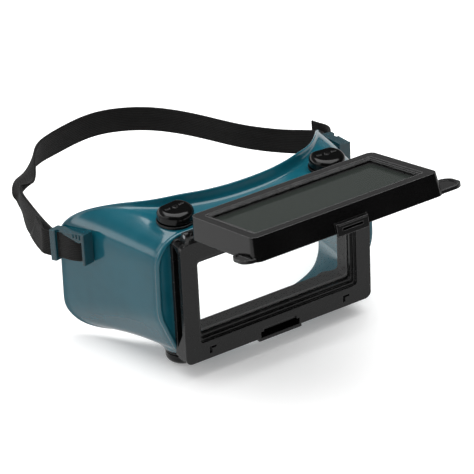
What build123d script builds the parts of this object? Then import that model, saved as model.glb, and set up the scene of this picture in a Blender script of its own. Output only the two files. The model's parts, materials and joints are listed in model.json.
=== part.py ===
from build123d import *
import os
import math

os.makedirs("parts", exist_ok=True)

# ---------------------------------------------------------------------------
# Flip-front welding goggles for a 2 x 4-1/4 in (50.8 x 108 mm) filter plate.
# Millimetres.  Origin: centre of the fixed window, on the lens frame's front
# face.  +X to the right seen from in front, -Y forward (away from the wearer),
# +Z up.  The flip front is drawn raised, which is the rest position.
# ---------------------------------------------------------------------------

# filter plate standard
PLATE_W = 108.0
PLATE_H = 50.8
SAFETY_T = 2.0          # clear inner safety lens
SHADE_T = 3.0           # dark filter plate
COVER_T = 1.5           # clear cover plate

# fixed lens frame
FR_W = 124.0
FR_H = 76.0
FR_PLATE = 3.0          # front plate thickness
FR_R = 4.0
WIN_W, WIN_H = 105.0, 53.5      # first step of the window
WIN2_W, WIN2_H = 102.5, 50.0    # second step
SILL_W, SILL_H = 100.0, 46.0    # clear opening
CH_W, CH_H = 114.0, 58.0        # lens chamber, outside
POCKET_W, POCKET_H = 109.0, 51.8
FLANGE_Y0, FLANGE_Y1 = 8.6, 10.9
COLLAR_Y = 14.0

# flip front (sizes are with the front closed; z is measured from the origin)
FL_W, FL_H = 118.0, 64.0        # front face
FL_DRAFT = 1.5                  # growth of each side towards the rear
FL_DEPTH = 13.0
FL_GAP = 0.8                    # clearance to the lens frame when closed
FL_YR = -FL_GAP                 # rear plane
FL_YF = FL_YR - FL_DEPTH        # front plane
OPEN_DEG = 103.35               # how far the rest position is from closed
EAR_REACH_L = 65.6              # lift ears at the free corners, distance of the outer edge from the middle
EAR_REACH_R = 75.0
EAR_Z, EAR_H, EAR_R = -23.2, 17.0, 6.5
EAR_T = 1.3                     # ear thickness, and its rim stands 0.7 mm above it

# hinge
HINGE_Y, HINGE_Z = 0.8, 43.5
PIN_R = 1.2
PIN_CLEAR = 0.05
KNUCKLE_R = 2.5
EAR_X0, EAR_X1 = 51.3, 56.0     # flip ear
LUG_GAP = 0.3
LUG_T = 2.5

# latch clip on the free edge
LATCH_W = 20.0
LATCH_Y, LATCH_Z = -5.2, -32.2  # barrel the clip turns on, front closed
LATCH_R = 0.9
LATCH_CLEAR = 0.08

# soft body
WALL = 2.6
BODY_Y0 = 11.0
BODY_Y1 = 45.0
BODY_Y2 = 92.0
#            (half width, top z, lower side z, bottom half width, bottom z, r top, r side, r bottom)
SEC0 = (71.5, 40.0, -8.0, 60.0, -37.5, 18.0, 26.0, 11.0)
SEC1 = (79.5, 40.0, -18.0, 70.0, -39.2, 20.0, 26.0, 12.0)
SEC2 = (89.5, 35.5, -34.0, 84.0, -49.5, 21.0, 30.0, 13.0)
# plan curve of the face edge, (x, y) for x >= 0
FACE_CURVE = [(0, 30.0), (20, 31.5), (40, 37.5), (56, 48.0), (70, 64.5), (80, 77.5), (90, 89.5)]
LIP_TOP = 46.5

# vents
VENT_X, VENT_Y = 50.0, 23.5
VENT_NECK_R = 7.0
VENT_FLANGE_R = 10.8
VENT_CAP_R = 10.3
VENT_PAD_R = 11.6
VENT_PAD_T = 4.2
VENT_CAP_H = 6.9
VENT_CHORD = 5.9                # straight rear edge of the cap, from its centre
VENT_TURN = 6.0                 # the straight edges turn a little towards the temples
VENT_TOP_Z = 40.05
VENT_BOT_Z = -38.9

# strap
STRAP_W = 16.0
STRAP_T = 1.6
LUG_Y, LUG_Z = 61.5, 18.0       # front end of each lug
LUG_T0, LUG_T1 = -2.2, 26.8       # extent along the wall
LUG_H = 19.6
LUG_TILT = 14.0                 # the lug falls towards the rear


# ---------------------------------------------------------------------------
# helpers
# ---------------------------------------------------------------------------
def save(shape, name):
    """Write one sub-part."""
    if isinstance(shape, (list, tuple)):
        shape = Compound(children=list(shape))
    shape.label = name
    export_step(shape, os.path.join("parts", name + ".step"))


def rbox(w, h, y0, y1, r=0.0, cx=0.0, cz=0.0):
    """Plate of width w (X) and height h (Z), with rounded corners, from y0 to y1."""
    pl = Plane(origin=(cx, y0, cz), x_dir=(1, 0, 0), z_dir=(0, 1, 0))
    sk = RectangleRounded(w, h, r) if r > 0 else Rectangle(w, h)
    return extrude(pl * sk, amount=y1 - y0)


def drafted(w0, h0, y0, w1, h1, y1, r0, r1, cz=0.0):
    """Rounded box that changes size from y0 to y1."""
    a = Plane(origin=(0, y0, cz), x_dir=(1, 0, 0), z_dir=(0, 1, 0)) * RectangleRounded(w0, h0, r0)
    b = Plane(origin=(0, y1, cz), x_dir=(1, 0, 0), z_dir=(0, 1, 0)) * RectangleRounded(w1, h1, r1)
    return loft([a, b], ruled=True)


def bar(x0, x1, y0, y1, z0, z1):
    return Pos((x0 + x1) / 2, (y0 + y1) / 2, (z0 + z1) / 2) * Box(abs(x1 - x0), abs(y1 - y0), abs(z1 - z0))


def side_profile(pts, x0, x1):
    """Polygon given as (y, z), extruded along X."""
    w = Polyline([(x0, p[0], p[1]) for p in pts], close=True)
    f = Face(Wire(w.edges()))
    s = extrude(f, amount=abs(x1 - x0), dir=(1 if x1 > x0 else -1, 0, 0))
    return s


def xcyl(r, x0, x1, y, z):
    return Pos((x0 + x1) / 2, y, z) * Rot(0, 90, 0) * Cylinder(r, abs(x1 - x0))


def zcyl(r, z0, z1, x, y):
    return Pos(x, y, (z0 + z1) / 2) * Cylinder(r, abs(z1 - z0))


def mirror_x(shape):
    return mirror(shape, about=Plane.YZ)


def flip_open(shape):
    """Carry a shape drawn in the closed position to the raised rest position."""
    ax = Axis((0, HINGE_Y, HINGE_Z), (1, 0, 0))
    return shape.rotate(ax, -OPEN_DEG)


# ---------------------------------------------------------------------------
# soft body
# ---------------------------------------------------------------------------
def section_wire(sec, y, inset=0.0):
    """Closed outline of the body in the plane y: six rounded corners."""
    w, zt, zs, wb, zb, rt, rs, rb = sec
    w, wb, zt, zb = w - inset, wb - inset, zt - inset, zb + inset
    rt, rs, rb = max(rt - inset, 3), rs, max(rb - inset, 3)
    pts = [(-w + 0.6, zt), (w - 0.6, zt), (w, zs), (wb, zb), (-wb, zb), (-w, zs)]
    rad = [rt, rt, rs, rb, rb, rs]
    n = len(pts)
    ends = []
    for i in range(n):
        p = pts[i]
        a = pts[i - 1]
        b = pts[(i + 1) % n]
        da = (a[0] - p[0], a[1] - p[1])
        db = (b[0] - p[0], b[1] - p[1])
        la, lb = math.hypot(*da), math.hypot(*db)
        ua, ub = (da[0] / la, da[1] / la), (db[0] / lb, db[1] / lb)
        cosang = ua[0] * ub[0] + ua[1] * ub[1]
        ang = math.acos(max(-1, min(1, cosang)))
        t = rad[i] / math.tan(ang / 2)
        bis = (ua[0] + ub[0], ua[1] + ub[1])
        lbis = math.hypot(*bis)
        cdist = rad[i] / math.sin(ang / 2)
        c = (p[0] + bis[0] / lbis * cdist, p[1] + bis[1] / lbis * cdist)
        t0 = (p[0] + ua[0] * t, p[1] + ua[1] * t)
        t1 = (p[0] + ub[0] * t, p[1] + ub[1] * t)
        m = (c[0] - bis[0] / lbis * rad[i], c[1] - bis[1] / lbis * rad[i])
        ends.append((t0, m, t1))
    edges = []
    for i in range(n):
        t0, m, t1 = ends[i]
        edges.append(ThreePointArc((t0[0], y, t0[1]), (m[0], y, m[1]), (t1[0], y, t1[1])))
        nx = ends[(i + 1) % n][0]
        edges.append(Line((t1[0], y, t1[1]), (nx[0], y, nx[1])))
    return Wire(edges)


def lerp_sec(a, b, t):
    return tuple(x + (y - x) * t for x, y in zip(a, b))


def body_solid(inset, y_start):
    s0 = lerp_sec(SEC0, SEC1, (y_start - BODY_Y0) / (BODY_Y1 - BODY_Y0))
    w0 = section_wire(s0, y_start, inset)
    w1 = section_wire(SEC1, BODY_Y1, inset)
    ext = lerp_sec(SEC1, SEC2, 1.12)
    w2 = section_wire(ext, BODY_Y1 + (BODY_Y2 - BODY_Y1) * 1.12, inset)
    return Solid.make_loft([w0, w1], ruled=True) + Solid.make_loft([w1, w2], ruled=True)


def make_body():
    # front edge: a rounded shoulder, then the tapered tube
    nose0 = tuple(v - d for v, d in zip(SEC0, (2.6, 2.6, 0, 2.6, -2.6, 2.0, 0, 2.0)))
    shoulder = Solid.make_loft([section_wire(nose0, BODY_Y0), section_wire(lerp_sec(nose0, SEC0, 0.62), BODY_Y0 + 0.9),
                                section_wire(SEC0, BODY_Y0 + 3.2)], ruled=True)
    outer = shoulder + body_solid(0.0, BODY_Y0 + 3.2)
    inner = body_solid(WALL, BODY_Y0 + 2.8)
    shell = outer - inner
    # upturned brow lip along the top of the face edge
    sp0 = Spline([(x, y - 2.4, 34) for x, y in [(-x, y) for x, y in reversed(FACE_CURVE[1:5])] + list(FACE_CURVE[:5])])
    sp1 = Spline([(x, y + 4.0, 34) for x, y in [(-x, y) for x, y in reversed(FACE_CURVE[1:5])] + list(FACE_CURVE[:5])])
    cap_a = Line(sp0 @ 1, sp1 @ 1)
    cap_b = Line(sp1 @ 0, sp0 @ 0)
    band = Face(Wire([sp0.edge(), cap_a.edge(), sp1.edge(), cap_b.edge()]))
    lip = extrude(band, amount=20, dir=(0, 0, 1))
    arch = Plane(origin=(0, 0, 0), x_dir=(1, 0, 0), z_dir=(0, -1, 0)) * make_face(
        Polyline((-72, 37.6), (-72, 34.4), (72, 34.4), (72, 37.6)).edges()
        + Spline((72, 37.6), (45, 42.6), (0, LIP_TOP), (-45, 42.6), (-72, 37.6)).edges())
    lip = lip & extrude(arch, amount=100, both=True)
    inner_room = body_solid(WALL, BODY_Y0 + 2.8)
    lip = lip - inner_room
    shell = shell + lip
    # the face edge: everything behind the plan curve goes
    left = [(-x, y) for x, y in reversed(FACE_CURVE[1:])]
    pts = left + list(FACE_CURVE)
    spl = Spline([(x, y, -80) for x, y in pts])
    back = Polyline([(90, 89.5, -80), (130, 89.5, -80), (130, 140, -80), (-130, 140, -80), (-130, 89.5, -80), (-90, 89.5, -80)])
    face = Face(Wire(spl.edges() + back.edges()))
    shell = shell - extrude(face, amount=160, dir=(0, 0, 1))
    # nose arch through the bottom wall and the lower part of the face edge
    nose = Plane(origin=(0, 17.5, -52), x_dir=(1, 0, 0), z_dir=(0, 1, 0)) * Ellipse(19.0, 25.0)
    shell = shell - extrude(nose, amount=60)
    # opening for the lens frame's collar
    shell = shell - rbox(CH_W + 0.5, CH_H + 0.5, BODY_Y0 - 3, BODY_Y0 + 8, 2.2)
    # flat pads and holes for the vents
    for sx in (-1, 1):
        shell = shell + zcyl(VENT_PAD_R, VENT_TOP_Z - VENT_PAD_T, VENT_TOP_Z, sx * VENT_X, VENT_Y)
        shell = shell + zcyl(VENT_PAD_R, VENT_BOT_Z, VENT_BOT_Z + VENT_PAD_T, sx * VENT_X, VENT_Y)
        shell = shell - zcyl(VENT_NECK_R + 0.2, 30, 45, sx * VENT_X, VENT_Y)
        shell = shell - zcyl(VENT_NECK_R + 0.2, -50, -34, sx * VENT_X, VENT_Y)
    return shell


body = make_body()
save(body, "goggle_body")


# ---------------------------------------------------------------------------
# fixed lens frame
# ---------------------------------------------------------------------------
frame = rbox(FR_W, FR_H, 0, FR_PLATE, FR_R)
frame += rbox(CH_W, CH_H, FR_PLATE, COLLAR_Y, 2.0)
frame += rbox(FR_W, FR_H, FLANGE_Y0, FLANGE_Y1, FR_R)
for sz in (-1, 1):
    frame += bar(-FR_W / 2 + 4, FR_W / 2 - 4, FR_PLATE, FLANGE_Y0, sz * (FR_H / 2 - 2.8), sz * FR_H / 2)
for sx in (-1, 1):
    # corner webs on the ends of the frame
    x0, x1 = sx * (FR_W / 2), sx * (FR_W / 2 - 5.0)
    lo, hi = min(x0, x1), max(x0, x1)
    frame += side_profile([(2.5, -18), (9, -30.5), (9, -35), (2.5, -35)], lo, hi)
    frame += side_profile([(2.5, -35), (9, -35), (9, -36.5), (2.5, -36.5)], lo + (0.2 if sx < 0 else 0), hi - (0.2 if sx > 0 else 0))
    frame += side_profile([(2.5, 31.5), (9, 35.5), (9, 36.5), (2.5, 36.5)], lo + (0.4 if sx < 0 else 0), hi - (0.4 if sx > 0 else 0))
# stepped window and lens pocket
frame -= rbox(WIN_W, WIN_H, -1, 1.5, 2.5)
frame -= rbox(WIN2_W, WIN2_H, 1.4, FR_PLATE, 2.0)
frame -= rbox(SILL_W, SILL_H, 2.9, 6, 1.5)
frame -= rbox(POCKET_W, POCKET_H, 4.4, COLLAR_Y + 1, 1.2)
# latch recess in the bottom bar, closed below by a keeper lip
frame -= bar(-11, 11, -1, 1.4, -34.5, -31.7)
frame -= bar(-13, 13, -1, 6.4, -38.1, -33.8)
frame += bar(-14.2, 14.2, 0.2, FLANGE_Y0, -40.0, -37.9)
# small angled dimples in the bottom bar
for cx in (-44.7, 44.7):
    frame -= bar(cx - 2.2, cx + 2.4, -1, 1.3, -31.9, -30.6)
    frame -= bar(cx - 2.2, cx - 0.4, -1, 1.3, -34.8, -30.6)
# relief pockets in the top wall, behind the hinge ears
for sx in (-1, 1):
    a, b = sorted((sx * (EAR_X0 - 2.8), sx * (EAR_X1 + 2.8)))
    frame -= bar(a + 1.2, b - 1.2, 3.6, 7.6, 35.6, 39)
# hinge lugs standing on the top edge
for sx in (-1, 1):
    for (xa, xb) in ((EAR_X0 - LUG_GAP - LUG_T, EAR_X0 - LUG_GAP), (EAR_X1 + LUG_GAP, EAR_X1 + LUG_GAP + LUG_T)):
        a, b = sorted((sx * xa, sx * xb))
        lug = xcyl(KNUCKLE_R, a, b, HINGE_Y, HINGE_Z)
        lug += side_profile([(HINGE_Y - 2.3, HINGE_Z - 0.9), (HINGE_Y + 2.45, HINGE_Z + 0.5), (6.2, 37.0), (0.15, 37.0), (0.15, 39.5)], a, b)
        frame += lug
for sx in (-1, 1):
    a, b = sorted((sx * (EAR_X0 - 4), sx * (EAR_X1 + 4)))
    frame -= xcyl(PIN_R, a, b, HINGE_Y, HINGE_Z)
save(frame, "lens_frame")

# clear safety lens, its gasket and the retainer that clamps everything to the body
lens = rbox(PLATE_W, PLATE_H, 4.45, 4.45 + SAFETY_T, 1.0)
save(lens, "safety_lens")

gasket = rbox(108.4, 51.2, 6.5, 8.0, 1.0) - rbox(101.0, 45.5, 6, 9, 2.0)
save(gasket, "lens_gasket")

retainer = rbox(119.0, 65.0, 14.05, 16.4, 8.0)
retainer += rbox(108.4, 51.2, 8.05, 15.0, 1.0)
retainer -= rbox(101.0, 45.5, 7, 18, 2.0)
for sx in (-1, 1):
    for sz in (-1, 1):
        retainer -= rbox(18, 1.6, 12, 18, 0.4, cx=sx * 32, cz=sz * 30.3)
save(retainer, "inner_retainer")


# ---------------------------------------------------------------------------
# flip front (drawn closed, then raised)
# ---------------------------------------------------------------------------
carrier = drafted(FL_W, FL_H, FL_YF, FL_W + 2 * FL_DRAFT, FL_H + 2 * FL_DRAFT, FL_YR, 4.0, 5.0)
# stepped opening on the front face, lens pocket behind it
carrier -= rbox(PLATE_W, 51.0, FL_YF - 1, FL_YF + 0.5, 2.0)
carrier -= rbox(105.5, 48.5, FL_YF + 0.4, FL_YF + 1.0, 1.6)
carrier -= rbox(103.0, 46.0, FL_YF + 0.9, FL_YF + 2.5, 1.2)
carrier -= rbox(POCKET_W, POCKET_H, FL_YF + 1.7, FL_YR + 1, 1.2)
# coring between the pocket and the outer skin, open to the rear
for sz in (-1, 1):
    for cx in (-36, 0, 36):
        if sz < 0 and cx == 0:
            continue            # solid behind the latch clip
        carrier -= rbox(33.0, 2.6, FL_YF + 4.0, FL_YR + 1, 0.8, cx=cx, cz=sz * 29.6)
# lift ears at the two free corners, in the rear plane, with a raised rim
for sx, reach in ((-1, EAR_REACH_L), (1, EAR_REACH_R)):
    ex = (reach + 50.0) / 2
    ew = reach - 50.0
    pl = Plane(origin=(sx * ex, FL_YR - EAR_T, EAR_Z), x_dir=(1, 0, 0), z_dir=(0, 1, 0))
    ear_out = extrude(pl * RectangleRounded(ew, EAR_H, EAR_R), amount=EAR_T)
    pl2 = Plane(origin=(sx * ex, FL_YR - EAR_T - 0.7, EAR_Z), x_dir=(1, 0, 0), z_dir=(0, 1, 0))
    rim = extrude(pl2 * RectangleRounded(ew, EAR_H, EAR_R), amount=1.2) - extrude(
        pl2 * RectangleRounded(ew - 2.4, EAR_H - 2.4, EAR_R - 1.2), amount=1.2)
    keep = bar(sx * 59.0, sx * (reach + 2), -6, 0, -40, 0)
    carrier += (ear_out + rim) & keep
# hinge ears
for sx in (-1, 1):
    a, b = sorted((sx * EAR_X0, sx * EAR_X1))
    ear = side_profile([(FL_YR - 4.2, 31.0), (FL_YR, 31.0), (FL_YR, 40.2), (HINGE_Y - 1.2, HINGE_Z + 2.1), (HINGE_Y - 2.3, HINGE_Z + 0.9),
                        (FL_YR - 2.2, 39.0), (FL_YR - 4.2, 35.0)], a, b)
    ear += xcyl(KNUCKLE_R, a, b, HINGE_Y, HINGE_Z)
    ear += side_profile([(FL_YR - 0.02, 41.0), (HINGE_Y, HINGE_Z - 2.3), (HINGE_Y, HINGE_Z), (HINGE_Y - 2.4, HINGE_Z - 0.6), (FL_YR - 0.8, 40.2)], a, b)
    ear -= xcyl(PIN_R + PIN_CLEAR, a - 1, b + 1, HINGE_Y, HINGE_Z)
    carrier += ear
# seat for the latch clip on the free edge, with the groove its barrel snaps into
carrier -= bar(-LATCH_W / 2 - 0.3, LATCH_W / 2 + 0.3, LATCH_Y - 1.3, FL_YR + 1, -36, -32.5)
carrier -= xcyl(LATCH_R + LATCH_CLEAR, -LATCH_W / 2 + 0.5, LATCH_W / 2 - 0.5, LATCH_Y, LATCH_Z)
save(flip_open(carrier), "flip_carrier")

y = FL_YF + 1.75
cover = rbox(PLATE_W, PLATE_H, y, y + COVER_T, 1.0)
save(flip_open(cover), "cover_plate")
y += COVER_T + 0.05
shade = rbox(PLATE_W, PLATE_H, y, y + SHADE_T, 1.0)
save(flip_open(shade), "shade_filter")
y += SHADE_T + 0.05
fgask = rbox(108.4, 51.2, y, y + 0.9, 1.0) - rbox(101.0, 44.5, y - 1, y + 2, 1.5)
save(flip_open(fgask), "flip_gasket")
y += 0.95
fret = rbox(108.6, 51.4, y, y + 1.6, 1.0) - rbox(102.0, 45.5, y - 1, y + 3, 1.5)
for sx in (-1, 1):
    fret += bar(sx * 20 - 5, sx * 20 + 5, y, y + 1.6, 20.6, 23.2)
    fret += bar(sx * 20 - 5, sx * 20 + 5, y, y + 1.6, -23.2, -20.6)
save(flip_open(fret), "flip_retainer")

# latch clip: a sprung tab with a slot, hooked at its rear end
clip = bar(-LATCH_W / 2, LATCH_W / 2, LATCH_Y - 0.9, FL_YR + 1.6, -34.4, -32.9)
clip += xcyl(LATCH_R, -LATCH_W / 2 + 1, LATCH_W / 2 - 1, LATCH_Y, LATCH_Z)
clip += side_profile([(FL_YR + 0.35, -33.0), (FL_YR + 1.6, -33.0), (FL_YR + 1.6, -32.0)], -LATCH_W / 2 + 1, LATCH_W / 2 - 1)
clip += bar(-LATCH_W / 2 + 1.5, LATCH_W / 2 - 1.5, LATCH_Y - 0.9, LATCH_Y + 0.1, -35.2, -34.3)
clip -= bar(-6.5, 6.5, FL_YR - 2.4, FL_YR - 1.0, -36, -32.85)
save(flip_open(clip), "latch_clip")

# hinge pins
for sx, nm in ((-1, "hinge_pin_left"), (1, "hinge_pin_right")):
    a, b = sorted((sx * (EAR_X0 - LUG_GAP - LUG_T + 0.3), sx * (EAR_X1 + LUG_GAP + LUG_T)))
    save(xcyl(PIN_R, a, b, HINGE_Y, HINGE_Z), nm)


# ---------------------------------------------------------------------------
# vents: a grommet through the wall and a domed cap that shields it
# ---------------------------------------------------------------------------
def vent(sx, top):
    s = 1 if top else -1
    wz = abs(VENT_TOP_Z if top else VENT_BOT_Z)
    x, yy = sx * VENT_X, VENT_Y

    def cyl(r, a, b):
        z0, z1 = sorted((s * a, s * b))
        return zcyl(r, z0, z1, x, yy)

    base = cyl(VENT_NECK_R, wz - VENT_PAD_T - 1.0, wz + 0.9)
    base += cyl(VENT_FLANGE_R, wz + 0.12, wz + 1.7)
    gap = 0.25 if top else 0.6
    base += cyl(8.2, wz - VENT_PAD_T - 2.2, wz - VENT_PAD_T - gap)
    base -= cyl(4.6, wz - VENT_PAD_T - 3, wz + 3)
    z1 = wz + 1.7
    top_h = VENT_CAP_H
    cap = cyl(VENT_CAP_R, z1 + 1.1, z1 + top_h)
    cap = fillet(cap.edges().filter_by(GeomType.CIRCLE).sort_by(Axis.Z)[-1 if top else 0], 3.2)
    cap -= cyl(VENT_CAP_R - 1.8, z1 + 0.9, z1 + top_h - 2.4)
    # straight rear edge
    cap -= Pos(x, yy, 0) * Rot(0, 0, -sx * VENT_TURN) * Pos(0, VENT_CHORD + 10, s * (z1 + 5)) * Box(40, 20, 14)
    # gate mark and two short dashes on the flat top
    cap += cyl(1.3, z1 + top_h - 0.1, z1 + top_h + 0.45)
    for k in (-1, 1):
        cap += Pos(x, yy, 0) * Rot(0, 0, -sx * VENT_TURN) * Pos(k * 4.6, 0.6, s * (z1 + top_h)) * Box(3.0, 0.9, 0.7)
    # three posts down to the grommet
    for k in range(3):
        a = math.radians(-90 + 120 * k)
        cap += Pos(VENT_CAP_R * 0.7 * math.cos(a), VENT_CAP_R * (0.7 if k == 0 else 0.62) * math.sin(a), 0) * cyl(1.1, z1 + 0.05, z1 + top_h - 2.0)
    cap += cyl(1.9, z1 + top_h - 2.6, z1 + top_h - 0.9)
    return base, cap


for sx, sn in ((-1, "left"), (1, "right")):
    for top, tn in ((True, "top"), (False, "bottom")):
        b, c = vent(sx, top)
        save(b, "vent_base_%s_%s" % (tn, sn))
        save(c, "vent_cap_%s_%s" % (tn, sn))


# ---------------------------------------------------------------------------
# strap lugs on the side walls, and the strap
# ---------------------------------------------------------------------------
SLOPE = math.atan2(SEC2[0] - SEC1[0], BODY_Y2 - BODY_Y1)
TILT = math.radians(LUG_TILT)


LUG_X0 = SEC1[0] + (SEC2[0] - SEC1[0]) * (LUG_Y - BODY_Y1) / (BODY_Y2 - BODY_Y1)
LUG_N = Vector(math.cos(SLOPE), -math.sin(SLOPE), 0)


def lug_at(t, v, n):
    """Point of the right lug: t to the rear along the wall, v up, n outward.  The rails fall towards the rear."""
    return Vector(LUG_X0 + t * math.sin(SLOPE), LUG_Y + t * math.cos(SLOPE), LUG_Z + v - t * math.tan(TILT)) + LUG_N * n


def lpoly(pts, n0, n1):
    """Plate on the wall, outlined by (t, v) points, from n0 to n1."""
    f = Face(Wire(Polyline([lug_at(p[0], p[1], n0) for p in pts], close=True).edges()))
    return extrude(f, amount=n1 - n0, dir=LUG_N)


def lbox(t0, t1, v0, v1, n0, n1):
    return lpoly([(t0, v0), (t1, v0), (t1, v1), (t0, v1)], n0, n1)


def make_lug():
    A, B, H = LUG_T0, LUG_T1, LUG_H / 2
    lug = lbox(A, B, -H, H, 0.5, 2.1)
    for (ta, tb) in ((A, A + 2.0), (B - 4.6, B)):
        lug += lbox(ta, tb, H - 1.5, H, 2.0, 7.4)
        lug += lbox(ta, tb, -H, -H + 1.5, 2.0, 7.4)
        lug += lbox(ta, tb, -H, H, 5.6, 7.4)
    # closed front end
    lug += lbox(A, A + 1.1, -H, H, 0.5, 5.8)
    # rails joining the two bars
    lug += lbox(A, B, H - 1.5, H, 2.0, 5.4)
    lug += lbox(A, B, -H, -H + 1.5, 2.0, 3.2)
    # thumb flap over the upper front corner, with three grip ribs
    lug += lpoly([(A, H - 4.4), (A + 4.5, H - 5.6), (A + 17.5, H - 1.4), (A + 17.5, H), (A, H)], 5.4, 7.0)
    for k in range(3):
        t = A + 3.4 + 2.6 * k
        lug += lpoly([(t, H - 3.6 + 0.5 * k), (t + 0.9, H - 3.6 + 0.5 * k), (t + 0.9, H - 0.5), (t, H - 0.5)], 6.9, 7.5)
    edges = lug.edges().filter_by(lambda e: abs(e.length - LUG_H) < 0.01 and (e.center() - lug_at(0, 0, 0)).dot(LUG_N) > 7.3)
    if len(edges) > 0:
        lug = fillet(edges, 0.6)
    # foot that follows the wall
    lug = lug + lbox(A + 2.5, B - 2.5, -H + 2.5, H - 2.5, -6.0, 0.6)
    return lug - body_solid(-0.06, BODY_Y0 + 3.2)


lug_r = make_lug()
save(lug_r, "strap_lug_right")
save(mirror_x(lug_r), "strap_lug_left")


def lug_point(sx, tt, n):
    p = lug_at(tt, 0, n)
    return (sx * p.X, p.Y, p.Z)


# strap centre line, (x, y, z), from the right lug round the back of the head to the left lug
r0 = lug_point(1, 6.5, 4.0)
r1 = lug_point(1, 18.0, 4.0)
r2 = lug_point(1, 27.0, 3.9)
l0 = lug_point(-1, 6.5, 4.0)
l1 = lug_point(-1, 18.0, 4.0)
l2 = lug_point(-1, 27.0, 3.9)
STRAP_PATH = [r0, r1, r2,
              (92.5, 107.0, 7.0), (83.9, 119.5, 4.5), (67.2, 138.0, 5.0), (52.2, 163.0, 6.0),
              (34.5, 186.0, 7.0), (16.0, 197.0, 8.0), (-5.0, 198.5, 9.5), (-30.0, 192.5, 10.5),
              (-54.0, 181.0, 10.0), (-69.0, 165.5, 8.0), (-80.0, 148.0, 6.0), (-86.5, 130.5, 5.0),
              (-91.0, 111.0, 6.0),
              l2, l1, l0]

curve = Spline([(p[0], p[1], p[2]) for p in STRAP_PATH])
wires = []
N = 60
for i in range(N + 1):
    u = i / N
    c = curve.position_at(u)
    tg = curve.tangent_at(u)
    th = Vector(tg.X, tg.Y, 0).normalized()
    nh = Vector(-th.Y, th.X, 0)
    hw, ht = STRAP_W / 2, STRAP_T / 2
    cs = []
    for (a, b) in ((-ht, -hw), (ht, -hw), (ht, hw), (-ht, hw)):
        cs.append((c.X + nh.X * a, c.Y + nh.Y * a, c.Z + b))
    wires.append(Wire(Polyline(cs, close=True).edges()))
strap = Solid.make_loft(wires, ruled=True)
save(strap, "head_strap")
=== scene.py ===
import bpy
import json
import math
import numpy as np
from mathutils import Matrix, Vector


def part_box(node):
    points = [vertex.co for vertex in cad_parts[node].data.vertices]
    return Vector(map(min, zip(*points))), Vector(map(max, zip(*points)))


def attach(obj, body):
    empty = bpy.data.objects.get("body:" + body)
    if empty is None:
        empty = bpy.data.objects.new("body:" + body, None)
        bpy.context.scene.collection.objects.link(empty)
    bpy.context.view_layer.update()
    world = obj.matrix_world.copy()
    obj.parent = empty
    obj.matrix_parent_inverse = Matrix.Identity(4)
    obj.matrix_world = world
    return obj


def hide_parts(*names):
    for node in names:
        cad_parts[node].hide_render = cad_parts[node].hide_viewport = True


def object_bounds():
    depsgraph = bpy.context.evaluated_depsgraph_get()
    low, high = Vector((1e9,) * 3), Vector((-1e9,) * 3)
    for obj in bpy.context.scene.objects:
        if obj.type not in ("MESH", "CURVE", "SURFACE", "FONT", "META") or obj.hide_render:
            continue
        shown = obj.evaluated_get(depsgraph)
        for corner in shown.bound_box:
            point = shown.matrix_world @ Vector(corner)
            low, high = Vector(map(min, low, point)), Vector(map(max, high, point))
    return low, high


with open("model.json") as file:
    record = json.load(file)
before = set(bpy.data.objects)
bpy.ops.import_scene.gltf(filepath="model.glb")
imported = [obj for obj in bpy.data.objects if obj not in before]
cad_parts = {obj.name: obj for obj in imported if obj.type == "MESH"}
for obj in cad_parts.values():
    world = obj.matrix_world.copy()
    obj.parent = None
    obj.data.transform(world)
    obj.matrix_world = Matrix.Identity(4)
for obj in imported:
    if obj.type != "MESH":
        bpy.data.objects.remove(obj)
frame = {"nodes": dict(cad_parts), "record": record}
NODES = frame["nodes"]
CAD_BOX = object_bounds()
MM = 0.001

# ---------------------------------------------------------------------------
# node helpers
# ---------------------------------------------------------------------------


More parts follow.
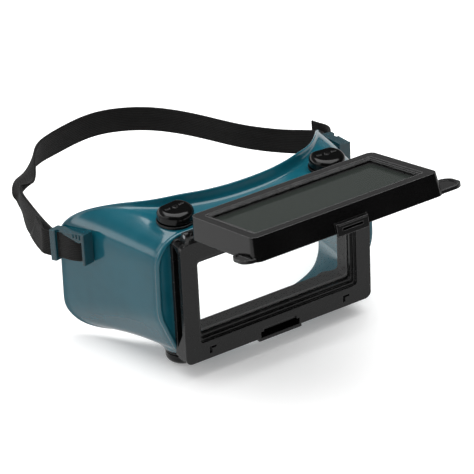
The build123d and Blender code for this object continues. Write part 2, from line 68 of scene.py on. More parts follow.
class Mat:
    """Small wrapper that makes node trees short to write."""

    def __init__(self, name):
        self.m = bpy.data.materials.new(name)
        self.m.use_nodes = True
        self.t = self.m.node_tree
        self.t.nodes.clear()
        self.out = self.t.nodes.new("ShaderNodeOutputMaterial")
        self.coord = self.t.nodes.new("ShaderNodeTexCoord")

    def n(self, kind, **kw):
        nd = self.t.nodes.new(kind)
        ins = kw.pop("ins", {})
        for k, v in kw.items():
            setattr(nd, k, v)
        for k, v in ins.items():
            self.put(nd, k, v)
        return nd

    def put(self, nd, key, v):
        sock = nd.inputs[key]
        if isinstance(v, bpy.types.NodeSocket):
            self.t.links.new(v, sock)
        else:
            sock.default_value = v

    def noise(self, scale, detail=3.0, rough=0.55, vec=None, dist=0.0):
        nd = self.n("ShaderNodeTexNoise", ins={"Scale": scale, "Detail": detail, "Roughness": rough, "Distortion": dist})
        self.put(nd, "Vector", vec if vec is not None else self.coord.outputs["Object"])
        return nd.outputs["Fac"]

    def ramp(self, fac, lo, hi, a=0.0, b=1.0):
        nd = self.n("ShaderNodeMapRange", ins={"Value": fac, "From Min": lo, "From Max": hi, "To Min": a, "To Max": b})
        return nd.outputs["Result"]

    def math(self, op, a, b=None, c=None, clamp=False):
        nd = self.n("ShaderNodeMath", operation=op, use_clamp=clamp)
        self.put(nd, 0, a)
        if b is not None:
            self.put(nd, 1, b)
        if c is not None:
            self.put(nd, 2, c)
        return nd.outputs[0]

    def mix(self, fac, a, b):
        nd = self.n("ShaderNodeMix", data_type="RGBA")
        self.put(nd, 0, fac)
        self.put(nd, 6, a)
        self.put(nd, 7, b)
        return nd.outputs[2]

    def bump(self, h, strength, dist, normal=None):
        nd = self.n("ShaderNodeBump", ins={"Height": h, "Strength": strength, "Distance": dist})
        if normal is not None:
            self.put(nd, "Normal", normal)
        return nd.outputs["Normal"]

    def edge(self, radius):
        """0 on flat faces, towards 1 along convex or concave edges."""
        bv = self.n("ShaderNodeBevel", samples=4, ins={"Radius": radius})
        geo = self.n("ShaderNodeNewGeometry")
        dt = self.n("ShaderNodeVectorMath", operation="DOT_PRODUCT")
        self.put(dt, 0, bv.outputs["Normal"])
        self.put(dt, 1, geo.outputs["Normal"])
        return self.ramp(dt.outputs["Value"], 0.995, 0.80, 0.0, 1.0)

    def principled(self, **ins):
        nd = self.n("ShaderNodeBsdfPrincipled")
        for k, v in ins.items():
            self.put(nd, k.replace("_", " "), v)
        return nd

    def surface(self, shader):
        self.t.links.new(shader, self.out.inputs["Surface"])
        return self.m


def col(r, g, b):
    return (r, g, b, 1.0)


def mat_pvc(name="soft_pvc", depth=1.0):
    """Glossy soft vinyl; depth scales the whole colour down as painted shade, for a part that should look darker than
    the same vinyl elsewhere.
    """
    k = Mat(name)
    big = k.noise(22.0, 3.0, 0.5)
    mid = k.noise(140.0, 4.0, 0.6)
    fine = k.noise(1500.0, 2.0, 0.6)
    base = k.mix(k.ramp(big, 0.35, 0.65), col(0.003 * depth, 0.068 * depth, 0.096 * depth), col(0.005 * depth, 0.085 * depth, 0.118 * depth))
    base = k.mix(k.ramp(mid, 0.3, 0.7, 0.0, 0.25), base, col(0.011 * depth, 0.104 * depth, 0.140 * depth))
    # painted highlight: the colour turns a lighter teal along edges and rims
    edge = k.edge(0.0012)
    base = k.mix(k.math("MULTIPLY", edge, 0.35), base, col(0.05 * depth, 0.25 * depth, 0.31 * depth))
    rough = k.math("ADD", k.ramp(mid, 0.3, 0.7, 0.12, 0.18), k.ramp(fine, 0.3, 0.7, 0.0, 0.04))
    h = k.math("ADD", k.math("MULTIPLY", mid, 0.6), k.math("MULTIPLY", fine, 0.25))
    nrm = k.bump(h, 0.06, 0.0003)
    p = k.principled(Base_Color=base, Roughness=rough, Normal=nrm, Coat_Weight=0.35, Coat_Roughness=0.05)
    p.inputs["IOR"].default_value = 1.50
    p.inputs["Subsurface Weight"].default_value = 0.06
    p.inputs["Subsurface Radius"].default_value = (0.001, 0.003, 0.004)
    p.inputs["Subsurface Scale"].default_value = 0.6
    return k.surface(p.outputs[0])


def mat_black(name, base=0.010, r0=0.24, r1=0.34, grain=1800.0, grain_s=0.12, edge_r=0.00045, edge_amt=0.5, coat=0.0, tint=(1.0, 1.0, 1.02), spec=0.5, edge_col=0.09, soften=True):
    k = Mat(name)
    big = k.noise(35.0, 3.0, 0.5)
    fine = k.noise(grain, 3.0, 0.6)
    smear = k.noise(260.0, 5.0, 0.65, dist=0.6)
    a = col(base * tint[0], base * tint[1], base * tint[2])
    b = col(base * 1.7 * tint[0], base * 1.7 * tint[1], base * 1.7 * tint[2])
    c = k.mix(k.ramp(big, 0.3, 0.7), a, b)
    # painted highlight: a lighter grey along edges, broken up by noise
    e = k.edge(edge_r)
    painted_edge_highlight = k.math("MULTIPLY", e, k.ramp(smear, 0.35, 0.75, edge_amt * 0.4, edge_amt))
    c = k.mix(painted_edge_highlight, c, col(edge_col, edge_col, edge_col * 1.01))
    rough = k.ramp(smear, 0.3, 0.75, r0, r1)
    if soften:
        soft = k.n("ShaderNodeBevel", samples=6, ins={"Radius": edge_r * 1.15})
        nrm = k.bump(fine, grain_s, 0.00008, normal=soft.outputs["Normal"])
    else:
        nrm = k.bump(fine, grain_s, 0.00008)
    p = k.principled(Base_Color=c, Roughness=rough, Normal=nrm, Coat_Weight=coat, Coat_Roughness=0.08)
    p.inputs["Specular IOR Level"].default_value = spec
    return k.surface(p.outputs[0])


def mat_glass(name, tint, amount, gloss=0.035):
    """Thin clear plate: mostly see-through, with a sharp reflection that grows at grazing angles."""
    k = Mat(name)
    fres = k.n("ShaderNodeFresnel", ins={"IOR": 1.5})
    smear = k.noise(60.0, 4.0, 0.6, dist=1.2)
    trans = k.n("ShaderNodeBsdfTransparent", ins={"Color": col(*tint)})
    gl = k.n("ShaderNodeBsdfGlossy", ins={"Color": col(1, 1, 1)})
    k.put(gl, "Roughness", k.ramp(smear, 0.3, 0.7, gloss * 0.5, gloss * 1.6))
    fac = k.math("MULTIPLY", fres.outputs[0], amount, clamp=True)
    lp = k.n("ShaderNodeLightPath")
    keep = k.math("SUBTRACT", 1.0, lp.outputs["Is Shadow Ray"])
    fac = k.math("MULTIPLY", fac, keep)
    geo = k.n("ShaderNodeNewGeometry")
    fac = k.math("MULTIPLY", fac, k.math("SUBTRACT", 1.0, geo.outputs["Backfacing"]))
    mx = k.n("ShaderNodeMixShader")
    k.put(mx, 0, fac)
    k.put(mx, 1, trans.outputs[0])
    k.put(mx, 2, gl.outputs[0])
    return k.surface(mx.outputs[0])


def mat_shade():
    k = Mat("shade_glass")
    smear = k.noise(45.0, 4.0, 0.6, dist=1.0)
    # painted sheen: the base colour lightens towards grazing angles
    lw = k.n("ShaderNodeLayerWeight", ins={"Blend": 0.35})
    base = k.mix(lw.outputs["Facing"], col(0.006, 0.011, 0.008), col(0.018, 0.022, 0.019))
    p = k.principled(Base_Color=base, Roughness=k.ramp(smear, 0.3, 0.7, 0.06, 0.12), Coat_Weight=0.0)
    p.inputs["IOR"].default_value = 1.52
    p.inputs["Specular IOR Level"].default_value = 0.32
    return k.surface(p.outputs[0])


def mat_rubber():
    k = Mat("gasket_rubber")
    f = k.noise(2200.0, 4.0, 0.65)
    g = k.noise(90.0, 3.0, 0.5)
    p = k.principled(Base_Color=k.mix(g, col(0.012, 0.012, 0.012), col(0.03, 0.03, 0.029)),
                     Roughness=k.ramp(f, 0.3, 0.7, 0.55, 0.75), Normal=k.bump(f, 0.25, 0.0001))
    return k.surface(p.outputs[0])


def mat_steel():
    k = Mat("pin_steel")
    mp = k.n("ShaderNodeMapping", ins={"Scale": (400.0, 6000.0, 6000.0)})
    k.put(mp, "Vector", k.coord.outputs["Object"])
    f = k.noise(1.0, 3.0, 0.6, vec=mp.outputs[0])
    p = k.principled(Base_Color=k.mix(f, col(0.42, 0.42, 0.43), col(0.62, 0.62, 0.64)), Metallic=1.0,
                     Roughness=k.ramp(f, 0.3, 0.7, 0.22, 0.4), Normal=k.bump(f, 0.15, 0.00005))
    return k.surface(p.outputs[0])


def mat_strap():
    """Woven elastic: lengthwise ribs, a fine cross knit inside each rib, and a denser selvedge."""
    k = Mat("strap_elastic")
    uv = k.n("ShaderNodeSeparateXYZ")
    k.put(uv, 0, k.coord.outputs["UV"])
    u, v = uv.outputs[0], uv.outputs[1]        # u along the strap and v across it, in millimetres
    rib = k.math("SINE", k.math("MULTIPLY", v, 2 * math.pi / 1.14))
    half = k.math("FLOOR", k.math("DIVIDE", v, 1.14))
    shift = k.math("MULTIPLY", half, 0.5)
    knit = k.math("SINE", k.math("MULTIPLY", k.math("ADD", k.math("DIVIDE", u, 0.82), shift), 2 * math.pi))
    rub = k.math("SINE", k.math("MULTIPLY", v, 2 * math.pi / 0.38))
    fuzz = k.noise(2600.0, 4.0, 0.7)
    big = k.noise(40.0, 3.0, 0.6)
    lump = k.noise(320.0, 3.0, 0.6)
    h = k.math("ADD", k.math("MULTIPLY", rib, 0.45), k.math("MULTIPLY", knit, 0.32))
    h = k.math("ADD", h, k.math("MULTIPLY", rub, 0.12))
    h = k.math("ADD", h, k.math("MULTIPLY", fuzz, 0.35))
    h = k.math("ADD", h, k.math("MULTIPLY", lump, 0.3))
    # painted shade: darker in the grooves of the ribs and knit, lighter on their crests
    painted_groove_shade = k.ramp(k.math("ADD", k.math("MULTIPLY", rib, 0.5), k.math("MULTIPLY", knit, 0.3)), -0.8, 0.8)
    c = k.mix(painted_groove_shade, col(0.0012, 0.0012, 0.0012), col(0.0092, 0.0088, 0.0084))
    c = k.mix(k.ramp(big, 0.35, 0.7, 0.0, 0.35), c, col(0.012, 0.0114, 0.011))
    p = k.principled(Base_Color=c, Roughness=k.ramp(fuzz, 0.3, 0.7, 0.62, 0.86), Normal=k.bump(h, 0.8, 0.0002),
                     Sheen_Weight=0.06, Sheen_Roughness=0.45)
    p.inputs["Specular IOR Level"].default_value = 0.16
    return k.surface(p.outputs[0])


def mat_floor():
    """Pale sheet; glossy rays see a painted glow in its place, brightest near the goggles and fading with distance,
    most towards the front; camera rays see an extra even glow.
    """
    k = Mat("floor_pale")
    a = k.noise(3.0, 4.0, 0.5)
    b = k.noise(900.0, 3.0, 0.6)
    c = k.mix(a, col(0.90, 0.90, 0.90), col(0.93, 0.93, 0.93))
    p = k.principled(Base_Color=c, Roughness=0.6, Normal=k.bump(b, 0.03, 0.0001))
    p.inputs["Specular IOR Level"].default_value = 0.1
    geo = k.n("ShaderNodeNewGeometry")
    xyz = k.n("ShaderNodeSeparateXYZ")
    k.put(xyz, 0, geo.outputs["Position"])
    # painted reflection: the floor glows for glossy rays, with a strength set by position
    front = k.ramp(xyz.outputs[1], -0.26, -0.55, 0.74, 0.0)
    rear = k.ramp(xyz.outputs[1], -0.06, 0.12, 1.0, 0.72)
    level = k.math("MULTIPLY", k.math("MULTIPLY", front, rear), 1.05)
    em = k.n("ShaderNodeEmission", ins={"Color": col(1, 1, 1)})
    k.put(em, "Strength", level)
    lp = k.n("ShaderNodeLightPath")
    glossy = k.math("MULTIPLY", lp.outputs["Is Glossy Ray"], 0.88)
    mx = k.n("ShaderNodeMixShader")
    k.put(mx, 0, glossy)
    k.put(mx, 1, p.outputs[0])
    k.put(mx, 2, em.outputs[0])
    lift = k.n("ShaderNodeEmission", ins={"Color": col(1, 1, 1)})
    k.put(lift, "Strength", k.math("MULTIPLY", lp.outputs["Is Camera Ray"], 0.22))
    both = k.n("ShaderNodeAddShader")
    k.put(both, 0, mx.outputs[0])
    k.put(both, 1, lift.outputs[0])
    return k.surface(both.outputs[0])


M_PVC = mat_pvc()
# the lugs are the body's own vinyl, with the colour scaled down as painted shade
M_LUG = mat_pvc("lug_pvc", 0.42)
# edge_amt and edge_col set the strength and grey of each finish's painted edge highlight
M_FRAME = mat_black("frame_black", 0.0035, 0.20, 0.30, 1600.0, 0.05, edge_amt=0.7, spec=0.36)
M_FLIP = mat_black("flip_black", 0.0025, 0.08, 0.16, 1900.0, 0.03, edge_r=0.0005, edge_amt=0.9, spec=0.5, edge_col=0.15)
M_LATCH = mat_black("latch_black", 0.004, 0.16, 0.26, 1700.0, 0.06, edge_r=0.0005, edge_amt=1.2)
M_VENT = mat_black("vent_black", 0.002, 0.12, 0.20, 1700.0, 0.04, edge_r=0.0004, edge_amt=0.9, spec=0.3, edge_col=0.12)
M_INNER = mat_black("inner_black", 0.002, 0.25, 0.4, 1500.0, 0.03, spec=0.10, edge_amt=0.3, soften=False)
M_CLEAR = mat_glass("clear_glass", (0.985, 0.995, 0.99), 0.9)
M_COVER = mat_glass("cover_glass", (0.97, 0.98, 0.975), 0.42)
M_SHADE = mat_shade()
M_RUBBER = mat_rubber()
M_STEEL = mat_steel()
M_STRAP = mat_strap()
M_FLOOR = mat_floor()


def dress(node, mat, bevel=0.0, segments=2, angle=32.0):
    """Gives a kept CAD node its finish, and eased edges."""
    o = NODES[node]
    if o.data.materials:
        for i in range(len(o.data.materials)):
            o.data.materials[i] = mat
    else:
        o.data.materials.append(mat)
    w = o.modifiers.new("weld", "WELD")
    w.merge_threshold = 2e-6
    if bevel > 0:
        b = o.modifiers.new("ease", "BEVEL")
        b.width = bevel
        b.segments = segments
        b.limit_method = "ANGLE"
        b.angle_limit = math.radians(angle)
        b.harden_normals = True
        b.use_clamp_overlap = True
    for p in o.data.polygons:
        p.use_smooth = True
    wn = o.modifiers.new("normals", "WEIGHTED_NORMAL")
    wn.keep_sharp = True
    return o


# ---------------------------------------------------------------------------
# soft body
# ---------------------------------------------------------------------------
SEC_Y = (11.0, 45.0, 92.0)
SECS = np.array([
    (71.5, 40.0, -8.0, 60.0, -37.5, 18.0, 26.0, 11.0),
    (79.5, 40.0, -18.0, 70.0, -39.2, 20.0, 26.0, 12.0),
    (89.5, 35.5, -34.0, 84.0, -49.5, 21.0, 30.0, 13.0)])
FACE_X = np.array([0.0, 20.0, 40.0, 56.0, 70.0, 80.0, 90.0, 100.0])
FACE_Y = np.array([30.0, 31.5, 37.5, 48.0, 64.5, 77.5, 89.5, 98.0])


def natural(xs, ys, clamp0=None):
    """Natural cubic spline, as a callable."""
    n = len(xs)
    h = np.diff(xs)
    a = np.zeros((n, n))
    r = np.zeros(n)
    a[0, 0] = 1.0
    a[-1, -1] = 1.0
    if clamp0 is not None:
        a[0, 0], a[0, 1] = 2 * h[0], h[0]
        r[0] = 6 * ((ys[1] - ys[0]) / h[0] - clamp0)
    for i in range(1, n - 1):
        a[i, i - 1], a[i, i], a[i, i + 1] = h[i - 1], 2 * (h[i - 1] + h[i]), h[i]
        r[i] = 6 * ((ys[i + 1] - ys[i]) / h[i] - (ys[i] - ys[i - 1]) / h[i - 1])
    m = np.linalg.solve(a, r)

    def f(x):
        x = np.asarray(x, float)
        i = np.clip(np.searchsorted(xs, x) - 1, 0, n - 2)
        t = x - xs[i]
        hh = h[i]
        return (ys[i] + t * ((ys[i + 1] - ys[i]) / hh - hh * (2 * m[i] + m[i + 1]) / 6)
                + t * t * m[i] / 2 + t ** 3 * (m[i + 1] - m[i]) / (6 * hh))
    return f


FACE = natural(FACE_X, FACE_Y, 0.0)


def sec_at(y):
    t = (y - SEC_Y[0]) / (SEC_Y[1] - SEC_Y[0])
    s01 = (SECS[1] - SECS[0]) / (SEC_Y[1] - SEC_Y[0])
    s12 = (SECS[2] - SECS[1]) / (SEC_Y[2] - SEC_Y[1])
    mid = 0.5 * (s01 + s12)
    if y <= SEC_Y[1]:
        h = SEC_Y[1] - SEC_Y[0]
        a, b, ma, mb = SECS[0], SECS[1], s01, mid
    else:
        h = SEC_Y[2] - SEC_Y[1]
        t = (y - SEC_Y[1]) / h
        a, b, ma, mb = SECS[1], SECS[2], mid, s12
        if t > 1:
            return b + mb * (y - SEC_Y[2])
    return ((2 * t ** 3 - 3 * t * t + 1) * a + (t ** 3 - 2 * t * t + t) * h * ma
            + (-2 * t ** 3 + 3 * t * t) * b + (t ** 3 - t * t) * h * mb)


def outline(sec):
    """Dense points of the six-cornered rounded outline, as (angle, radius) from the section's centre."""
    w, zt, zs, wb, zb, rt, rs, rb = sec
    pts = [(-w + 0.6, zt), (w - 0.6, zt), (w, zs), (wb, zb), (-wb, zb), (-w, zs)]
    rad = [rt, rt, rs, rb, rb, rs]
    out = []
    n = len(pts)
    for i in range(n):
        p, a, b = np.array(pts[i]), np.array(pts[i - 1]), np.array(pts[(i + 1) % n])
        ua, ub = (a - p) / np.linalg.norm(a - p), (b - p) / np.linalg.norm(b - p)
        ang = math.acos(max(-1, min(1, float(ua @ ub))))
        t = rad[i] / math.tan(ang / 2)
        bis = (ua + ub) / np.linalg.norm(ua + ub)
        c = p + bis * rad[i] / math.sin(ang / 2)
        t0, t1 = p + ua * t, p + ub * t
        a0 = math.atan2(*(t0 - c)[::-1])
        a1 = math.atan2(*(t1 - c)[::-1])
        d = (a1 - a0 + math.pi) % (2 * math.pi) - math.pi
        for k in range(25):
            q = a0 + d * k / 24
            out.append(c + rad[i] * np.array((math.cos(q), math.sin(q))))
    return np.array(out)


PHI = np.linspace(0, 2 * math.pi, 440, endpoint=False)


def smooth_loop(a, passes):
    for _ in range(passes):
        a = 0.25 * np.roll(a, 1, 0) + 0.5 * a + 0.25 * np.roll(a, -1, 0)
    return a


_cache = {}


def loop_at(y):
    """Outline points at depth y for every angle, and the in-plane outward normals."""
    key = round(float(y), 3)
    if key not in _cache:
        o = outline(sec_at(y))
        ang = np.arctan2(o[:, 1], o[:, 0])
        r = np.hypot(o[:, 0], o[:, 1])
        s = np.argsort(ang)
        ang, r = ang[s], r[s]
        ang = np.concatenate((ang - 2 * math.pi, ang, ang + 2 * math.pi))
        # radius between samples follows the chord, which keeps flat walls flat
        x, z = np.tile(o[s, 0], 3), np.tile(o[s, 1], 3)
        ph = (PHI + math.pi) % (2 * math.pi) - math.pi
        i = np.clip(np.searchsorted(ang, ph) - 1, 0, len(ang) - 2)
        x0, z0, x1, z1 = x[i], z[i], x[i + 1], z[i + 1]
        c, sn = np.cos(ph), np.sin(ph)
        den = c * (z1 - z0) - sn * (x1 - x0)
        den = np.where(np.abs(den) < 1e-9, 1e-9, den)
        rr = (x0 * (z1 - z0) - z0 * (x1 - x0)) / den
        p = np.stack((rr * c, rr * sn), 1)
        p = smooth_loop(p, 3)
        tg = np.roll(p, -1, 0) - np.roll(p, 1, 0)
        nm = np.stack((tg[:, 1], -tg[:, 0]), 1)
        nm /= np.linalg.norm(nm, axis=1, keepdims=True)
        _cache[key] = (p, smooth_loop(nm, 2))
    return _cache[key]


YS = np.arange(8.0, 100.0, 1.0)
_LP = np.stack([loop_at(y)[0] for y in YS])      # (depth, angle, 2)
_LN = np.stack([loop_at(y)[1] for y in YS])


def at(y):
    """Outline point and normal for every angle, at a depth that may differ per angle."""
    y = np.clip(np.broadcast_to(np.asarray(y, float), PHI.shape), YS[0], YS[-1] - 1e-6)
    k = (y - YS[0]).astype(int)
    f = (y - YS[0] - k)[:, None]
    j = np.arange(len(PHI))
    p = _LP[k, j] * (1 - f) + _LP[k + 1, j] * f
    n = _LN[k, j] * (1 - f) + _LN[k + 1, j] * f
    return p, n / np.linalg.norm(n, axis=1, keepdims=True)


def sstep(a, b, x):
    t = np.clip((x - a) / (b - a), 0, 1)
    return t * t * (3 - 2 * t)


def mesh_from(name, verts, faces, mat, smooth=True):
    me = bpy.data.meshes.new(name)
    me.from_pydata([tuple(v) for v in verts], [], [tuple(f) for f in faces])
    me.materials.append(mat)
    for p in me.polygons:
        p.use_smooth = smooth
    me.update()
    o = bpy.data.objects.new(name, me)
    bpy.context.scene.collection.objects.link(o)
    return o


def grid_faces(nu, nv, wrap_u=True, wrap_v=True):
    f = []
    for i in range(nu if wrap_u else nu - 1):
        i2 = (i + 1) % nu
        for j in range(nv if wrap_v else nv - 1):
            j2 = (j + 1) % nv
            f.append((i * nv + j, i * nv + j2, i2 * nv + j2, i2 * nv + j))
    return f


VX, VY = 50.0, 23.5


def build_body():
    ye = np.full(PHI.shape, 60.0)
    for _ in range(40):
        p, _n = at(ye)
        ye = 0.5 * ye + 0.5 * FACE(np.abs(p[:, 0]))
    p, n = at(ye)
    # nose notch in the bottom wall
    low = sstep(-20.0, -34.0, p[:, 1])
    notch = 1.0 - sstep(12.0, 21.0, np.abs(p[:, 0]))
    ye = ye - low * notch * (ye - 18.5)
    ye = smooth_loop(ye, 4)
    p, n = at(ye)
    top = sstep(20.0, 34.0, p[:, 1])
    hx = np.abs(p[:, 0])
    lip = top * (1 - sstep(34.0, 74.0, hx)) * 5.4 + top * 0.9 * (1 - sstep(60, 84, hx))
    lip = smooth_loop(lip, 6)

    rows = []

    def add(y, rho):
        q, m = at(y)
        yy = np.broadcast_to(np.asarray(y, float), PHI.shape)
        rr = np.broadcast_to(np.asarray(rho, float), PHI.shape)[:, None]
        q = q + m * rr
        rows.append(np.stack((q[:, 0], yy, q[:, 1]), 1))

    # opening boundary: a rounded rectangle seen from the centre
    hw, hh, rc = 57.4, 29.4, 2.2
    c, s = np.cos(PHI), np.sin(PHI)
    r = 1.0 / np.maximum(np.abs(c) / hw, np.abs(s) / hh)
    op = np.stack((r * c, r * s), 1)
    edge_pts, _ = at(np.full(PHI.shape, 11.0))
    _, nrm0 = at(np.full(PHI.shape, 11.0))
    inner_ring = edge_pts - nrm0 * 3.2

    def ring(f, y):
        q = op * (1 - f) + inner_ring * f
        rows.append(np.stack((q[:, 0], np.full(PHI.shape, y), q[:, 1]), 1))

    ring(0.0, 11.25)
    ring(0.02, 11.0)
    ring(0.35, 10.98)
    ring(0.7, 10.98)
    ring(1.0, 11.0)
    # front bead and shoulder
    for (y, rho) in ((10.98, -2.7), (10.9, -2.2), (10.55, -1.75), (10.3, -1.2), (10.3, -0.6), (10.6, -0.05), (11.1, 0.22), (11.7, 0.22),
                     (12.25, -0.05), (12.6, -0.38), (13.2, -0.42), (13.9, -0.22), (15.0, -0.04), (16.6, 0.0)):
        add(y, rho)
    m_out = 44
    y0 = 16.6
    for i in range(1, m_out):
        t = i / m_out
        add(y0 + (ye - 4.2 - y0) * t, 0.0)
    for (dy, a, b) in ((-4.2, 0.0, 0.0), (-3.2, 0.05, 0.03), (-2.35, 0.15, 0.13), (-1.7, 0.3, 0.34), (-1.3, 0.42, 0.62), (-1.0, 0.5, 0.88),
                       (-0.55, 0.55, 1.03), (0.1, 0.35, 1.06), (0.65, 0.0, 0.98), (0.9, -0.5, 0.80), (0.85, -1.2, 0.45), (0.6, -1.9, 0.15),
                       (0.1, -2.4, 0.02), (-0.8, -2.62, 0.0)):
        add(ye + dy, a + b * lip)
    m_in = 26
    for i in range(1, m_in + 1):
        t = i / m_in
        add((ye - 0.8) + (16.0 - (ye - 0.8)) * t, -2.6)
    add(14.6, -2.75)
    add(13.9, -3.3)
    for f, y in ((0.85, 13.62), (0.5, 13.6), (0.05, 13.6), (0.0, 13.3)):
        ring(f, y)
    P = np.stack(rows, 1)              # angle, profile, 3
    # flat seats for the vents
    nout = 5 + 14 + m_out - 1
    o = P[:, :nout]
    for sx in (-1, 1):
        d = np.hypot(o[..., 0] - sx * VX, o[..., 1] - VY)
        w = 1 - sstep(11.2, 13.6, d)
        up = o[..., 2] > 20
        o[..., 2] = np.where(up, o[..., 2] + w * (40.05 - o[..., 2]), o[..., 2])
        dn = o[..., 2] < -25
        o[..., 2] = np.where(dn & (o[..., 1] > 12), o[..., 2] + w * (-38.9 - o[..., 2]), o[..., 2])
    P[:, :nout] = o
    nu, nv = P.shape[0], P.shape[1]
    ob = mesh_from("soft_body", (P.reshape(-1, 3) * MM), grid_faces(nu, nv), M_PVC)
    sub = ob.modifiers.new("smooth", "SUBSURF")
    sub.levels = 1
    sub.render_levels = 1
    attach(ob, "goggle_main")
    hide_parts("goggle_body")
    return ob


build_body()


# ---------------------------------------------------------------------------
# strap
# ---------------------------------------------------------------------------
def catmull(pts, n):
    """Centripetal-ish spline through pts, resampled at n even steps of arc length."""
    pts = np.array(pts, float)
    d = np.concatenate(([0], np.cumsum(np.sqrt(np.linalg.norm(np.diff(pts, axis=0), axis=1)))))
    fs = [natural(d, pts[:, k]) for k in range(pts.shape[1])]
    t = np.linspace(0, d[-1], 4000)
    q = np.stack([f(t) for f in fs], 1)
    s = np.concatenate(([0], np.cumsum(np.linalg.norm(np.diff(q[:, :3], axis=0), axis=1))))
    e = np.linspace(0, s[-1], n)
    return np.stack([np.interp(e, s, q[:, k]) for k in range(q.shape[1])], 1), e


STRAP_W = 16.0


def ribbon(name, stations, n, width=STRAP_W, thick=1.5, cross=29, u0=0.0, end_slant=(0.0, 0.0)):
    """Flat elastic band. stations are (x, y, z, lean in degrees, outward shift): lean tips the top edge inward when negative."""
    q, e = catmull(stations, n)
    c = q[:, :3]
    tg = np.gradient(c, axis=0)
    tg /= np.linalg.norm(tg, axis=1, keepdims=True)
    up = np.tile(np.array((0.0, 0.0, 1.0)), (n, 1))
    out = np.cross(tg, up)
    out /= np.linalg.norm(out, axis=1, keepdims=True)
    up = np.cross(out, tg)
    b = np.radians(q[:, 3])[:, None]
    wdir = up * np.cos(b) + out * np.sin(b)
    ndir = out * np.cos(b) - up * np.sin(b)
    verts, uvs = [], []
    v = np.linspace(-1, 1, cross)
    ring_v = []
    # outward face, bottom to top, then the inner face back down
    for x in v:
        ring_v.append((x, 1))
    for x in v[::-1]:
        ring_v.append((x, -1))
    for i in range(n):
        for (x, side) in ring_v:
            ax = abs(x)
            edge = max(0.0, (ax - 0.90) / 0.10)
            t = thick / 2 * math.sqrt(max(0.0, 1 - edge ** 2.4 * 0.92))
            rib = 0.085 * math.cos(x * math.pi * 13) * (1 - edge)
            selv = 0.07 * math.exp(-((ax - 0.91) / 0.035) ** 2)
            off = (t + rib + selv) * side
            s_end = 0.0
            if i < 1:
                s_end = end_slant[0] * x
            if i > n - 2:
                s_end = end_slant[1] * x
            p = c[i] + wdir[i] * (x * width / 2) + ndir[i] * off + tg[i] * s_end
            verts.append(p * MM)
            uvs.append((u0 + e[i], x * width / 2))
    nr = len(ring_v)
    faces = []
    for i in range(n - 1):
        for j in range(nr):
            j2 = (j + 1) % nr
            faces.append((i * nr + j, (i + 1) * nr + j, (i + 1) * nr + j2, i * nr + j2))
    # capped ends, as strips between the two faces
    for i in (0, n - 1):
        for j in range(cross - 1):
            a, b2 = i * nr + j, i * nr + j + 1
            c2, d2 = i * nr + nr - 2 - j, i * nr + nr - 1 - j
            faces.append((a, b2, c2, d2) if i == 0 else (d2, c2, b2, a))
    ob = mesh_from(name, verts, faces, M_STRAP)
    me = ob.data
    lay = me.uv_layers.new(name="UVMap")
    for lp in me.loops:
        lay.data[lp.index].uv = uvs[lp.vertex_index]
    return ob


lug_lo, lug_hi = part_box("strap_lug_left")
REC = frame["record"]
SLOPE = math.atan2(10.0, 47.0)
TILT = math.radians(14.0)
LUG_Y, LUG_Z = 61.5, 18.0


def lug_pt(sx, tt, nn, dz=0.0):
    x0 = 79.5 + 10.0 * (LUG_Y - 45.0) / 47.0
    p = np.array((x0 + tt * math.sin(SLOPE), LUG_Y + tt * math.cos(SLOPE), LUG_Z + dz - tt * math.tan(TILT)))
    p = p + np.array((math.cos(SLOPE), -math.sin(SLOPE), 0.0)) * nn
    return (sx * p[0], p[1], p[2])


def st(p, lean=0.0):
    return (p[0], p[1], p[2], lean)


# stations run from the right lug, round the back of the head, to the left lug
main = [st(lug_pt(1, 1.3, 3.9)), st(lug_pt(1, 3.4, 4.6)), st(lug_pt(1, 6.0, 5.4)), st(lug_pt(1, 12.0, 5.7)), st(lug_pt(1, 18.5, 5.0)), st(lug_pt(1, 24.5, 4.0)),
        (95.5, 97.0, 8.6, 0), (91.0, 109.0, 6.0, 0), (83.5, 119.5, 4.4, 0), (67.2, 138.0, 5.0, 0), (52.2, 163.0, 6.0, 0),
        (34.5, 186.0, 7.0, 0), (16.0, 197.0, 8.0, 0), (-5.0, 199.0, 9.5, 0), (-30.0, 192.5, 10.5, 0),
        (-46.0, 184.8, 12.0, -6), (-58.4, 174.5, 12.8, -22), (-70.5, 161.7, 10.2, -64), (-76.2, 154.2, 9.0, -44), (-81.0, 146.2, 7.4, 2), (-86.7, 124.5, 6.6, -14), (-89.6, 106.0, 8.4, -8),
        st(lug_pt(-1, 24.5, 4.0)), st(lug_pt(-1, 18.5, 5.0)), st(lug_pt(-1, 12.0, 5.8)), st(lug_pt(-1, 6.0, 5.5)), st(lug_pt(-1, 3.4, 4.7)), st(lug_pt(-1, 1.3, 3.9))]
strap = ribbon("strap_band", main, 420)
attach(strap, "goggle_main")
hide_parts("head_strap")

tail_l = [(-92.0, 110.5, 10.2, -12), (-93.8, 103.0, 10.0, -8), (-95.4, 96.0, 10.5, -4), (-96.0, 91.5, 11.1, 0), st(lug_pt(-1, 24.5, 5.2, -0.2)), st(lug_pt(-1, 19.5, 4.8, -0.2))]
tl = ribbon("strap_tail_left", tail_l, 60, end_slant=(4.2, 0.0), u0=11.0)
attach(tl, "goggle_main")
tail_r = [(96.2, 107.5, 11.6, 0), (97.8, 101.0, 12.0, 0), (98.8, 94.0, 12.4, 0), st(lug_pt(1, 24.5, 5.2, 0.6)), st(lug_pt(1, 19.5, 4.8, 0.2))]
tr = ribbon("strap_tail_right", tail_r, 60, end_slant=(1.8, 0.0), u0=23.0)
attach(tr, "goggle_main")

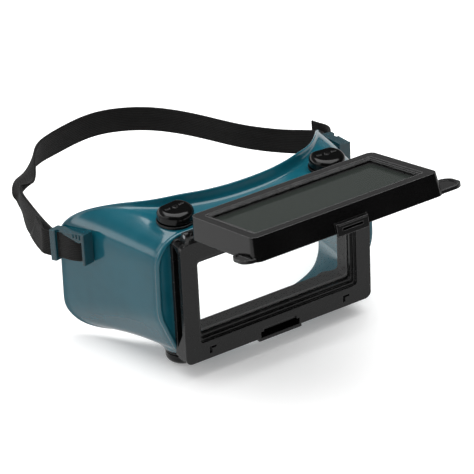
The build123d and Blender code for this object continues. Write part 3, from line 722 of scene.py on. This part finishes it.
# ---------------------------------------------------------------------------
# kept CAD nodes
# ---------------------------------------------------------------------------
dress("strap_lug_left", M_LUG, 0.0005, 3)
dress("strap_lug_right", M_LUG, 0.0005, 3)
dress("lens_frame", M_FRAME, 0.0004, 2)
dress("inner_retainer", M_INNER, 0.0003, 2)
dress("flip_carrier", M_FLIP, 0.0006, 3)
dress("flip_retainer", M_INNER, 0.0002, 2)
dress("latch_clip", M_LATCH, 0.0002, 2)
dress("safety_lens", M_CLEAR, 0.0002, 1)
dress("cover_plate", M_COVER, 0.0002, 1)
dress("shade_filter", M_SHADE, 0.0002, 1)
dress("lens_gasket", M_RUBBER, 0.0002, 2)
dress("flip_gasket", M_RUBBER, 0.0002, 2)
dress("hinge_pin_left", M_STEEL, 0.0002, 2)
dress("hinge_pin_right", M_STEEL, 0.0002, 2)
for tp in ("top", "bottom"):
    for sd in ("left", "right"):
        dress("vent_base_%s_%s" % (tp, sd), M_VENT, 0.00025, 2)
        dress("vent_cap_%s_%s" % (tp, sd), M_VENT, 0.0003, 2)


# ---------------------------------------------------------------------------
# stage, light, camera
# ---------------------------------------------------------------------------
lo, hi = CAD_BOX
FLOOR_Z = lo[2] - 0.0002
fl = mesh_from("floor", [(-4, -4, FLOOR_Z), (4, -4, FLOOR_Z), (4, 4, FLOOR_Z), (-4, 4, FLOOR_Z)], [(0, 1, 2, 3)], M_FLOOR, smooth=False)


def area(name, loc, target, size, power, size_y=None, color=(1, 1, 1)):
    d = bpy.data.lights.new(name, "AREA")
    d.energy = power
    d.size = size
    if size_y:
        d.shape = "RECTANGLE"
        d.size_y = size_y
    d.color = color
    o = bpy.data.objects.new(name, d)
    bpy.context.scene.collection.objects.link(o)
    o.location = loc
    v = Vector(target) - Vector(loc)
    o.rotation_euler = v.to_track_quat("-Z", "Y").to_euler()
    return o


area("key_overhead", (0.1, 0.1, 1.6), (0.02, 0.05, 0), 2.5, 52.0, 2.0)
area("left_soft", (-1.3, 0.1, 0.9), (0, 0.05, 0), 0.7, 2.0, 0.7)

w = bpy.data.worlds.new("studio")
bpy.context.scene.world = w
w.use_nodes = True
wt = w.node_tree
wt.nodes.clear()


def wn(kind, **kw):
    nd = wt.nodes.new(kind)
    for k2, v2 in kw.items():
        setattr(nd, k2, v2)
    return nd


def wmath(op, a, b):
    nd = wn("ShaderNodeMath", operation=op)
    for i, v in enumerate((a, b)):
        if isinstance(v, bpy.types.NodeSocket):
            wt.links.new(v, nd.inputs[i])
        else:
            nd.inputs[i].default_value = v
    return nd.outputs[0]


def wramp(sock, stops):
    nd = wn("ShaderNodeValToRGB")
    wt.links.new(sock, nd.inputs[0])
    el_ = nd.color_ramp.elements
    while len(el_) > 1:
        el_.remove(el_[-1])
    el_[0].position = stops[0][0]
    el_[0].color = (stops[0][1],) * 3 + (1,)
    for p_, v_ in stops[1:]:
        e_ = el_.new(p_)
        e_.color = (v_,) * 3 + (1,)
    return nd.outputs[0]


tc = wn("ShaderNodeTexCoord")
sp = wn("ShaderNodeSeparateXYZ")
wt.links.new(tc.outputs["Generated"], sp.inputs[0])
X_, Y_, Z_ = sp.outputs[0], sp.outputs[1], sp.outputs[2]
# reflections: a lit wall behind and to the left, low in the sky, and a dark room in front
wall = wramp(Z_, ((0.0, 0.10), (0.035, 0.28), (0.08, 1.0), (0.26, 0.9), (0.36, 0.12), (0.60, 0.06), (0.80, 0.30), (1.0, 0.5)))
rearness = wmath("ADD", wmath("MULTIPLY", Y_, 0.75), 0.30)
leftness = wmath("MAXIMUM", wmath("ADD", wmath("MULTIPLY", X_, -2.4), 1.15), 0.22)
amount = wmath("MAXIMUM", wmath("MULTIPLY", rearness, leftness), 0.015)
gloss = wmath("MULTIPLY", wall, amount)
lp = wn("ShaderNodeLightPath")
soft = wramp(Z_, ((0.0, 0.22), (0.5, 0.36), (1.0, 0.5)))
g1 = wmath("MULTIPLY", gloss, lp.outputs["Is Glossy Ray"])
g2 = wmath("MULTIPLY", soft, wmath("SUBTRACT", 1.0, lp.outputs["Is Glossy Ray"]))
both = wmath("ADD", g1, g2)
cam_ray = lp.outputs["Is Camera Ray"]
fin = wmath("ADD", wmath("MULTIPLY", both, wmath("SUBTRACT", 1.0, cam_ray)), wmath("MULTIPLY", cam_ray, 0.93))
bg = wn("ShaderNodeBackground")
wt.links.new(fin, bg.inputs[0])
bg.inputs[1].default_value = 1.0
wo = wn("ShaderNodeOutputWorld")
wt.links.new(bg.outputs[0], wo.inputs[0])

az, el, roll = math.radians(-31.54), math.radians(30.246), math.radians(-2.679)
FPX, DIST, TX, TY = 2720.231, 1506.872, 22.984, -20.002
back = np.array((math.sin(az) * math.cos(el), -math.cos(az) * math.cos(el), math.sin(el)))
right = np.cross((0, 0, 1), back)
right /= np.linalg.norm(right)
up = np.cross(back, right)
right2 = math.cos(roll) * right + math.sin(roll) * up
up2 = -math.sin(roll) * right + math.cos(roll) * up
C = back * DIST - right2 * TX - up2 * TY
cam_d = bpy.data.cameras.new("cam")
cam_d.sensor_width = 36.0
cam_d.sensor_fit = "HORIZONTAL"
cam_d.lens = 36.0 * FPX / 474.0
cam_d.clip_start = 0.05
cam_d.clip_end = 30.0
cam = bpy.data.objects.new("cam", cam_d)
bpy.context.scene.collection.objects.link(cam)
cam.matrix_world = Matrix([
    (right2[0], up2[0], back[0], C[0] * MM),
    (right2[1], up2[1], back[1], C[1] * MM),
    (right2[2], up2[2], back[2], C[2] * MM),
    (0, 0, 0, 1)])
bpy.context.scene.camera = cam
vs = bpy.context.scene.view_settings
vs.view_transform = "Standard"
vs.look = "None"
vs.exposure = 0.0
vs.gamma = 1.0
